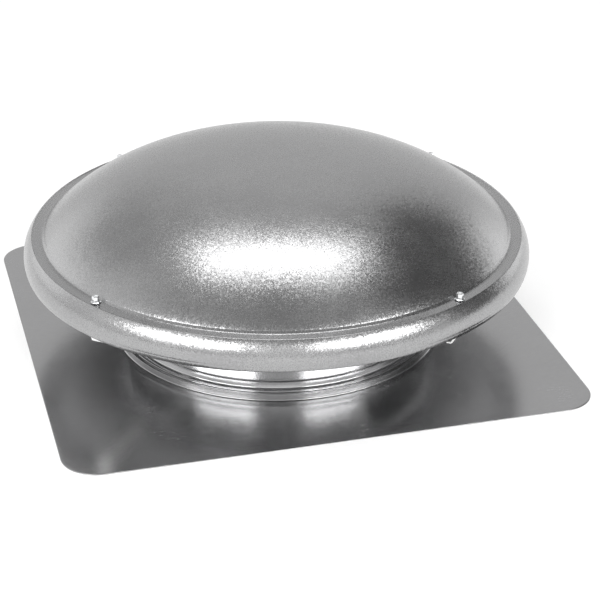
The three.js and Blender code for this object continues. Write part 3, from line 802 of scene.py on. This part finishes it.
def end_bell_upper():
    z, top = heights_mm("motor_end_bell_upper")
    return turned(rounded([
        (0, top - 2), (11.3, top - 2), (11.3, top - 10), (14, top - 10), (14, top - 5),
        (MOTOR_R - 5, top - 5), (MOTOR_R - 2, top - 7), (MOTOR_R - 2, z), (MOTOR_R, z),
        (MOTOR_R, top - 7), (MOTOR_R - 3, top - 3), (21, top - 3), (16, top), (0, top),
    ], 1.4, 4), 96)


def motor_shell():
    z, top = heights_mm("motor_shell")
    # Two grooves rolled into the shell stop the stator from sliding.
    groove_depth, groove_half, steps = 0.9, 1.2, 56
    outer = []
    for height in (z + (top - z) * k / steps for k in range(steps + 1)):
        grooves = sum(exp(-(((height - place) / groove_half) ** 2)) for place in (z + 9, top - 7))
        outer.append((MOTOR_R - groove_depth * grooves, height))
    return turned([(MOTOR_R - 2, top), (MOTOR_R - 2, z)] + outer, 96)


def winding(node):
    """Coil heads: a bundle of wire turns laid in waves round the stator's end."""
    low, high = heights_mm(node)
    shape = Shape()
    for layer in range(3):
        for row in range(2):
            z = (low + high) / 2 - 1.2 + row * 2.4
            path = []
            for turn in (tau * k / 120 for k in range(120)):
                r = 24.6 + layer * 2.2 + 0.6 * sin(12 * turn + layer + row)
                path.append((r * cos(turn), r * sin(turn), z))
            shape.merge(tube(path, 1.25, 8, closed=True))
    return shape


def ring_shape(node, inner, outer):
    low, high = heights_mm(node)
    return turned(rounded([(inner, low), (outer, low), (outer, high), (inner, high)], 0.4), 72)


def bearing_shape(node):
    """Outer race, shield and inner race."""
    z, top = heights_mm(node)
    profile = [
        (4.3, z), (6, z), (6.2, z + 0.5), (9, z + 0.5), (9.2, z), (11, z), (11, top), (9.2, top),
        (9, top - 0.5), (6.2, top - 0.5), (6, top), (4.3, top),
    ]
    return turned(rounded(profile, 0.25), 64)


def through_bolt(node):
    low, high = heights_mm(node)
    shank = [(0, low), (1.9, low), (2.2, low + 0.5), (2.2, high - 3), (0, high - 3)]
    shape = turned(rounded(shank, 0.3), 24)
    shape.merge(thread(low, low + 13, 2.3, 0.8, 0.2))
    return shape.merge(hex_body(4.2, high - 3.4, high))


def hex_nut(node):
    z, top = heights_mm(node)
    collar = [(2.5, top - 0.3), (4.4, top - 0.3), (4.4, top), (2.5, top)]
    return hex_body(4.6, z, top).merge(turned(rounded(collar, 0.1), 32))


def grommet(node):
    z, top = heights_mm(node)
    return turned(rounded([(2.9, z), (6.4, z), (5.3, (z + top) / 2), (6.4, top), (2.9, top)], 0.5), 48)


replace("motor_bracket", motor_bracket(), SMALL_ZINC, turn_z(BRACKET_TURN))
replace("motor_end_bell_lower", end_bell_lower(), BLACK_PAINT)
replace("motor_shell", motor_shell(), BLACK_PAINT)
replace("motor_end_bell_upper", end_bell_upper(), BLACK_PAINT)
replace("stator_core", ring_shape("stator_core", 20.8, 39.2), LAMINATED)
for node in ("stator_winding_lower", "stator_winding_upper"):
    replace(node, winding(node), COPPER)
for node in ("bearing_lower", "bearing_upper"):
    replace(node, bearing_shape(node), PLATED)
for number in QUARTERS:
    for node, shape_of, material, slot in (
        (f"motor_bolt_{number}", through_bolt, PLATED, "zinc_plated_steel"),
        (f"motor_nut_{number}", hex_nut, PLATED, "zinc_plated_steel"),
        (f"motor_grommet_{number}", grommet, RUBBER, "black_rubber"),
    ):
        middle = centre_mm(node)
        replace(node, shape_of(node), material, at(middle.x, middle.y))


# ---------- what turns ----------

FAN_R = 176
FAN_Z = heights_mm("fan_hub")[0] + 10
WING_ROOT_R = 56
WING_PITCH = radians(20)
WINGS = 4
FINGER_LIFT = 2.5


def smoothstep(value, low, high):
    t = min(max((value - low) / (high - low), 0), 1)
    return t * t * (3 - 2 * t)


def screw_surface(r, turn, lift):
    """A point of the fan's pitched and cambered surface, raised by a lift."""
    ramp = smoothstep(r, 24, WING_ROOT_R)
    camber = 5 * (1 - (turn / 0.32) ** 2) * ramp
    rise = ramp * r * tan(WING_PITCH) * turn
    return Vector((r * cos(turn), r * sin(turn), FAN_Z + rise + camber - 3 * ramp + lift))


def curved_plate(point, thickness, across, along):
    """A closed plate of even thickness below a surface given as point(u, v)."""
    shape = Shape()
    nudge = 1e-3
    for depth in (0, thickness):
        for i in range(across + 1):
            for j in range(along + 1):
                u, v = i / across, j / along
                du = point(u + nudge, v) - point(u - nudge, v)
                dv = point(u, v + nudge) - point(u, v - nudge)
                shape.points.append(point(u, v) - du.cross(dv).normalized() * depth)
    row = along + 1
    below = row * (across + 1)
    for i in range(across):
        for j in range(along):
            face = (i * row + j, (i + 1) * row + j, (i + 1) * row + j + 1, i * row + j + 1)
            shape.faces.append(face)
            shape.faces.append(tuple(k + below for k in reversed(face)))
        a, b = i * row, (i + 1) * row
        shape.faces.append((a + below, b + below, b, a))
        shape.faces.append((b + along + below, a + along + below, a + along, b + along))
    last = across * row
    for j in range(along):
        shape.faces.append((j + 1 + below, j + below, j, j + 1))
        shape.faces.append((last + j + below, last + j + 1 + below, last + j + 1, last + j))
    return shape


def wing_point(u, v):
    r = WING_ROOT_R + (FAN_R - WING_ROOT_R) * u
    half_turn = 0.36 - 0.08 * u - 0.17 * max(u, 0) ** 8
    side = 2 * v - 1
    # A pressed rib stiffens the middle of the wing.
    rib_height, rib_half = 1.1, 0.09
    rib = rib_height * exp(-((side / rib_half) ** 2))
    rib *= smoothstep(u, 0.02, 0.15) * (1 - smoothstep(u, 0.6, 0.8))
    return screw_surface(r, side * half_turn, rib)


def finger_point(u, v):
    r = 19 + 66 * u
    half_width = 7 + 7 * u
    return screw_surface(r, (2 * v - 1) * half_width / r, FINGER_LIFT)


def fan_spider():
    """A ring with a finger for each wing."""
    top = FAN_Z + 2.4
    ring = [(10.3, top - 1.5), (24, top - 1.5), (24, top), (10.3, top)]
    shape = turned(rounded(ring, 0.4), 64)
    for k in range(WINGS):
        shape.merge(curved_plate(finger_point, 1.5, 24, 8), turn_z(tau * k / WINGS))
    return shape


def wing_rivets():
    """Rivets that hold each wing to its finger of the spider."""
    rivet = turned([(0, -3.6), (2.6, -3.4), (3, -2.8), (3, 0.2), (2.4, 1.1), (0, 1.5)], 20)
    shape = Shape()
    for k in range(WINGS):
        for r, turn in ((63, 0.06), (63, -0.06), (77, 0.07), (77, -0.07)):
            seat = screw_surface(r, turn, FINGER_LIFT)
            shape.merge(rivet, turn_z(tau * k / WINGS) @ at(*seat))
    return shape


def fan_hub():
    z, top = heights_mm("fan_hub")
    return turned(rounded([
        (4.3, z), (10, z), (10, FAN_Z + 3), (20, FAN_Z + 3), (20, FAN_Z + 6), (10, FAN_Z + 6),
        (10, top), (4.3, top),
    ], 0.9, 4), 64)


def shaft():
    z, top = heights_mm("motor_shaft")
    return turned(rounded([(0, z), (3.4, z), (4, z + 0.8), (4, top - 0.8), (3.4, top), (0, top)], 0.3), 40)


def turning(node, shape, material, place=Matrix()):
    replace(node, shape, material, place, "rotor")


turning("rotor_core", ring_shape("rotor_core", 4.3, 20.2), LAMINATED)
turning("motor_shaft", shaft(), PLATED)
turning("fan_hub", fan_hub(), CAST_ALUMINIUM)
turning("fan_spider", fan_spider(), SMALL_ZINC)
WING = curved_plate(wing_point, 1.2, 40, 36)
for k in range(WINGS):
    turning(f"fan_wing_{k + 1}", WING, WING_ALUMINIUM, turn_z(tau * k / WINGS))
make_shape("wing_rivets", wing_rivets(), PLATED, body="rotor")
set_screw = turned(rounded([(0, -3), (2, -3), (2, 3), (1.1, 3), (1.1, 1.4), (0, 1.4)], 0.2), 32)
set_screw_place = at(*centre_mm("hub_set_screw")) @ lying_along_x()
turning("hub_set_screw", set_screw, PLATED, set_screw_place)


# ---------- control box, thermostat and lead ----------

BOX_START_R = 84
BOX_END_R = BOX_START_R + 84
BOX_HALF = 28
BOX_LOW, BOX_HIGH = heights_mm("control_box")
COVER_LOW, COVER_HIGH = heights_mm("control_box_cover")
DIAL_AT = centre_mm("thermostat_dial")
DIAL_RADIAL = hypot(DIAL_AT.x, DIAL_AT.y)
ON_FIRST_ARM = turn_z(BRACKET_TURN)


def open_box(x0, x1, y0, y1, low, high):
    """A folded sheet box with no lid."""
    wall = 1
    outer = rectangle(x0, x1, y0, y1, 2.5)
    inner = rectangle(x0 + wall, x1 - wall, y0 + wall, y1 - wall, 1.8)
    middle = (x0 + x1) / 2
    base = [(x + (0.5 if x < middle else -0.5), y * 0.98) for x, y in outer]
    return skinned([
        level(base, low), level(outer, low + 0.6), level(outer, high),
        level(inner, high), level(inner, low + wall),
    ])


def knockout(x, y, z, facing):
    """A round knockout stamped in the box's side."""
    disc = turned(rounded([(0, 0), (8.6, 0), (8.6, 0.35), (8.1, 0.35), (8.1, 0.15), (0, 0.15)], 0.1), 48)
    return Shape().merge(disc, at(x, y, z) @ Matrix.Rotation(-facing * pi / 2, 4, "X"))


def control_box():
    shape = open_box(BOX_START_R, BOX_END_R, -BOX_HALF, BOX_HALF, BOX_LOW, BOX_HIGH)
    for facing in (-1, 1):
        shape.merge(knockout(BOX_START_R + 60, facing * (BOX_HALF - 0.02), BOX_LOW + 24, facing))
    return shape


def box_cover():
    outline = rectangle(BOX_START_R - 1, BOX_END_R + 1, -BOX_HALF - 1, BOX_HALF + 1, 2.5)
    return prism(outline, COVER_LOW, COVER_HIGH, 0.35)


def dial_marks():
    """Short lines round the dial, longest at each end and in the middle."""
    start_r, half, thick = 15.2, 0.35, 0.12
    shape = Shape()
    for k in range(11):
        long = 4.2 if k % 5 == 0 else 2.6
        outline = rectangle(start_r, start_r + long, -half, half, 0.1)
        mark = prism(outline, COVER_HIGH, COVER_HIGH + thick, 0.02)
        shape.merge(mark, at(DIAL_RADIAL) @ turn_z(radians(-225 + 27 * k)))
    return shape


def dial():
    """A skirted knob with a ribbed edge, a grip bar and a stub below."""
    skirt_r, rib_depth, points = 13, 0.5, 144
    low, top = heights_mm("thermostat_dial")
    z = COVER_HIGH + 0.7
    outline = []
    for k in range(points):
        r = skirt_r if k % 4 < 2 else skirt_r - rib_depth
        outline.append((r * cos(tau * k / points), r * sin(tau * k / points)))
    shape = prism(outline, z, z + 2.2, 0.3)
    shape.merge(prism(rectangle(-11, 11, -2.6, 2.6, 2.2), z + 2, top, 0.7))
    return shape.merge(turned([(0, low), (3.2, low), (3.2, z + 0.5), (0, z + 0.5)], 32))


def thermostat():
    low, high = heights_mm("thermostat_body")
    half = 17
    return prism(rectangle(DIAL_RADIAL - half, DIAL_RADIAL + half, -half, half, 2), low, high, 0.6)


def pan_screw(node):
    """A pan head on a threaded shank."""
    low, top = heights_mm(node)
    seat = top - 2
    head = [(0, seat), (3.6, seat), (3.5, seat + 1), (2.9, seat + 1.7), (1.6, top), (0, top)]
    return turned(head, 40).merge(thread(low, seat + 0.2, 1.7, 1, 0.25))


def bushing_shape():
    """A sleeve through a wall, with a collar on the wall's outer side."""
    profile = [(3.4, 5), (3.4, -3), (4.7, -3), (4.7, 0.4), (7, 0.4), (7, 3), (5.4, 5)]
    return turned(rounded(profile, 0.6), 40)


def smooth_path(points):
    """A Catmull-Rom curve through points."""
    steps = 6
    padded = [points[0], *points, points[-1]]
    path = []
    for a, b, c, d in zip(padded, padded[1:], padded[2:], padded[3:]):
        a, b, c, d = (Vector(p) for p in (a, b, c, d))
        for k in range(steps):
            t = k / steps
            path.append(
                b + (c - a) * (0.5 * t) + (a * 2 - b * 5 + c * 4 - d) * (0.5 * t * t)
                + (b * 3 - a - c * 3 + d) * (0.5 * t ** 3)
            )
    return path + [Vector(points[-1])]


replace("control_box", control_box(), SMALL_ZINC, ON_FIRST_ARM)
replace("control_box_cover", box_cover(), SMALL_ZINC, ON_FIRST_ARM)
replace("thermostat_body", thermostat(), BLACK_PLASTIC, ON_FIRST_ARM)
dial_place = at(DIAL_AT.x, DIAL_AT.y) @ ON_FIRST_ARM
replace("thermostat_dial", dial(), GREY_PLASTIC, dial_place, "dial")
make_shape("dial_marks", dial_marks(), PRINT, ON_FIRST_ARM)
pointer = prism(rectangle(5, 12, -0.4, 0.4, 0.1), 0, 0.15, 0.02)
pointer_place = at(z=heights_mm("thermostat_dial")[1] - 0.05) @ dial_place
make_shape("dial_pointer", pointer, PRINT, pointer_place, "dial")
for node in ("cover_screw_1", "cover_screw_2"):
    middle = centre_mm(node)
    replace(node, pan_screw(node), PLATED, at(middle.x, middle.y))

LEAD_Z = heights_mm("motor_shell")[0] + 6.8
BOX_LEAD_Z = BOX_LOW + 16
lead_route = smooth_path([
    (MOTOR_R - 4, 0, LEAD_Z), (MOTOR_R + 6, 0, LEAD_Z), (MOTOR_R + 16, 0, LEAD_Z + 1),
    (BOX_START_R - 18, 0, BOX_LEAD_Z - 1), (BOX_START_R - 8, 0, BOX_LEAD_Z),
    (BOX_START_R + 3, 0, BOX_LEAD_Z),
])
replace("motor_lead", tube(lead_route, 2.9, 20), CABLE_JACKET, ON_FIRST_ARM)
motor_hole = ON_FIRST_ARM @ at(MOTOR_R, 0, LEAD_Z) @ lying_along_x()
box_hole = ON_FIRST_ARM @ at(BOX_START_R, 0, BOX_LEAD_Z) @ turn_z(pi) @ lying_along_x()
replace("motor_lead_bushing", bushing_shape(), RUBBER, motor_hole)
replace("box_lead_bushing", bushing_shape(), RUBBER, box_hole)


# ---------- capacitor ----------

CAN_AT_R = 112
CAN_R = 17
ON_THIRD_ARM = turn_z(BRACKET_TURN + pi) @ at(CAN_AT_R)


def capacitor():
    """A drawn can with a rolled top seam and a sealed terminal post."""
    z, post_top = heights_mm("capacitor")
    top = post_top - 5
    return turned(rounded([
        (0, z), (CAN_R - 0.6, z), (CAN_R - 0.6, top - 2.4), (CAN_R, top - 2), (CAN_R, top),
        (CAN_R - 1.4, top), (CAN_R - 1.6, top - 1.2), (6, top - 0.6), (6, post_top), (0, post_top),
    ], 0.6, 3), 64)


def clamp():
    """A cup round the can's foot, with a tab that lies on the bracket's arm."""
    z, top = heights_mm("capacitor_clamp")
    wall, inner = 1.2, CAN_R + 0.3
    cup = turned(rounded([
        (0, z), (inner + wall, z), (inner + wall, top), (inner, top), (inner, z + wall), (0, z + wall),
    ], 0.4), 64)
    tab = prism(rectangle(inner - 1, inner + 12, -9, 9, 3), z, z + wall, 0.3)
    return cup.merge(tab)


replace("capacitor", capacitor(), CAST_ALUMINIUM, ON_THIRD_ARM)
replace("capacitor_clamp", clamp(), SMALL_ZINC, ON_THIRD_ARM)


# ---------- floor, light and camera ----------


def add_floor():
    """A wide floor, a little under the flashing."""
    half, z = 9000, -0.6
    corners = level([(-half, -half), (half, -half), (half, half), (-half, half)], z)
    mesh = bpy.data.meshes.new("floor")
    mesh.from_pydata([corner * MM for corner in corners], [], [(0, 1, 2, 3)])
    mesh.materials.append(floor_finish())
    floor = bpy.data.objects.new("floor", mesh)
    bpy.context.scene.collection.objects.link(floor)


# The camera and the lights are placed in metres and degrees.
VIEW_HEADING = 75.24  # the way the camera faces, from +X
VIEW_DROP = 27.01
CAMERA_AT = Vector((-0.4972, -1.9969, 1.078))
CAMERA_LENS = 113.3
LIT_POINT = Vector((0, 0, 0.1))


def heading(turn, rise):
    """A direction, turned left from the camera's heading and raised above the horizon."""
    a, e = radians(VIEW_HEADING + turn), radians(rise)
    return Vector((cos(a) * cos(e), sin(a) * cos(e), sin(e)))


def add_camera():
    data = bpy.data.cameras.new("camera")
    data.sensor_width = 36
    data.lens = CAMERA_LENS
    data.clip_end = 60
    camera = bpy.data.objects.new("camera", data)
    camera.location = CAMERA_AT
    camera.rotation_euler = heading(0, -VIEW_DROP).to_track_quat("-Z", "Y").to_euler()
    bpy.context.scene.collection.objects.link(camera)
    bpy.context.scene.camera = camera


def add_softbox(name, turn, rise, distance, width, height, radiance):
    """A rectangular light that faces the object. Its mirror image is as bright at any size."""
    data = bpy.data.lights.new(name, "AREA")
    data.shape = "RECTANGLE"
    data.size = width
    data.size_y = height
    data.energy = radiance * width * height * pi
    light = bpy.data.objects.new(name, data)
    direction = heading(turn, rise)
    light.location = direction * distance + LIT_POINT
    light.rotation_euler = (-direction).to_track_quat("-Z", "Y").to_euler()
    bpy.context.scene.collection.objects.link(light)


ROOM_GREY = 0.64
# Soft patches of the room's walls: turn, rise, inner and outer radius in degrees, and brightness.
ROOM_PATCHES = (
    (0, 4, 10, 60, 0.8),
    (75, 15, 15, 60, 0.96),
    (53, 15, 9, 28, 1.45),
    (38, 42, 8, 26, 0.56),
    (180, 28, 15, 55, 1),
    (180, 74, 12, 50, 0.38),
    (-76, 18, 10, 30, 0.14),
    (-70, 42, 14, 30, 0.11),
    (-42, 42, 8, 22, 0.1),
    (-48, 7, 6, 22, 1.6),
)


def add_room():
    """A grey room with a dark corner to the right and lighter walls to the left and behind."""
    world = bpy.data.worlds.new("room")
    bpy.context.scene.world = world
    world.use_nodes = True
    tree = world.node_tree
    direction = tree.nodes.new("ShaderNodeTexCoord").outputs["Generated"]
    brightness = None
    for turn, rise, inner, outer, value in ROOM_PATCHES:
        toward = tree.nodes.new("ShaderNodeVectorMath")
        toward.operation = "DOT_PRODUCT"
        toward.inputs[1].default_value = heading(turn, rise)
        tree.links.new(direction, toward.inputs[0])
        share = tree.nodes.new("ShaderNodeMapRange")
        share.interpolation_type = "SMOOTHSTEP"
        share.inputs["From Min"].default_value = cos(radians(outer))
        share.inputs["From Max"].default_value = cos(radians(inner))
        tree.links.new(toward.outputs["Value"], share.inputs["Value"])
        blend = tree.nodes.new("ShaderNodeMix")
        blend.inputs["A"].default_value = ROOM_GREY
        blend.inputs["B"].default_value = value
        tree.links.new(share.outputs["Result"], blend.inputs["Factor"])
        if brightness is not None:
            tree.links.new(brightness, blend.inputs["A"])
        brightness = blend.outputs["Result"]
    tree.links.new(brightness, tree.nodes["Background"].inputs["Strength"])
    tree.nodes["Background"].inputs["Color"].default_value = (1, 1, 1, 1)


add_floor()
add_camera()
add_room()
add_softbox("overhead_box", 0, 79, 3.2, 2.3, 1.15, 4)
add_softbox("left_box", 141, 29.5, 3.4, 2.5, 1.15, 7.5)
add_softbox("right_box", -139, 29.5, 3.4, 2.3, 1.15, 7.5)

scene = bpy.context.scene
scene.view_settings.view_transform = "Standard"
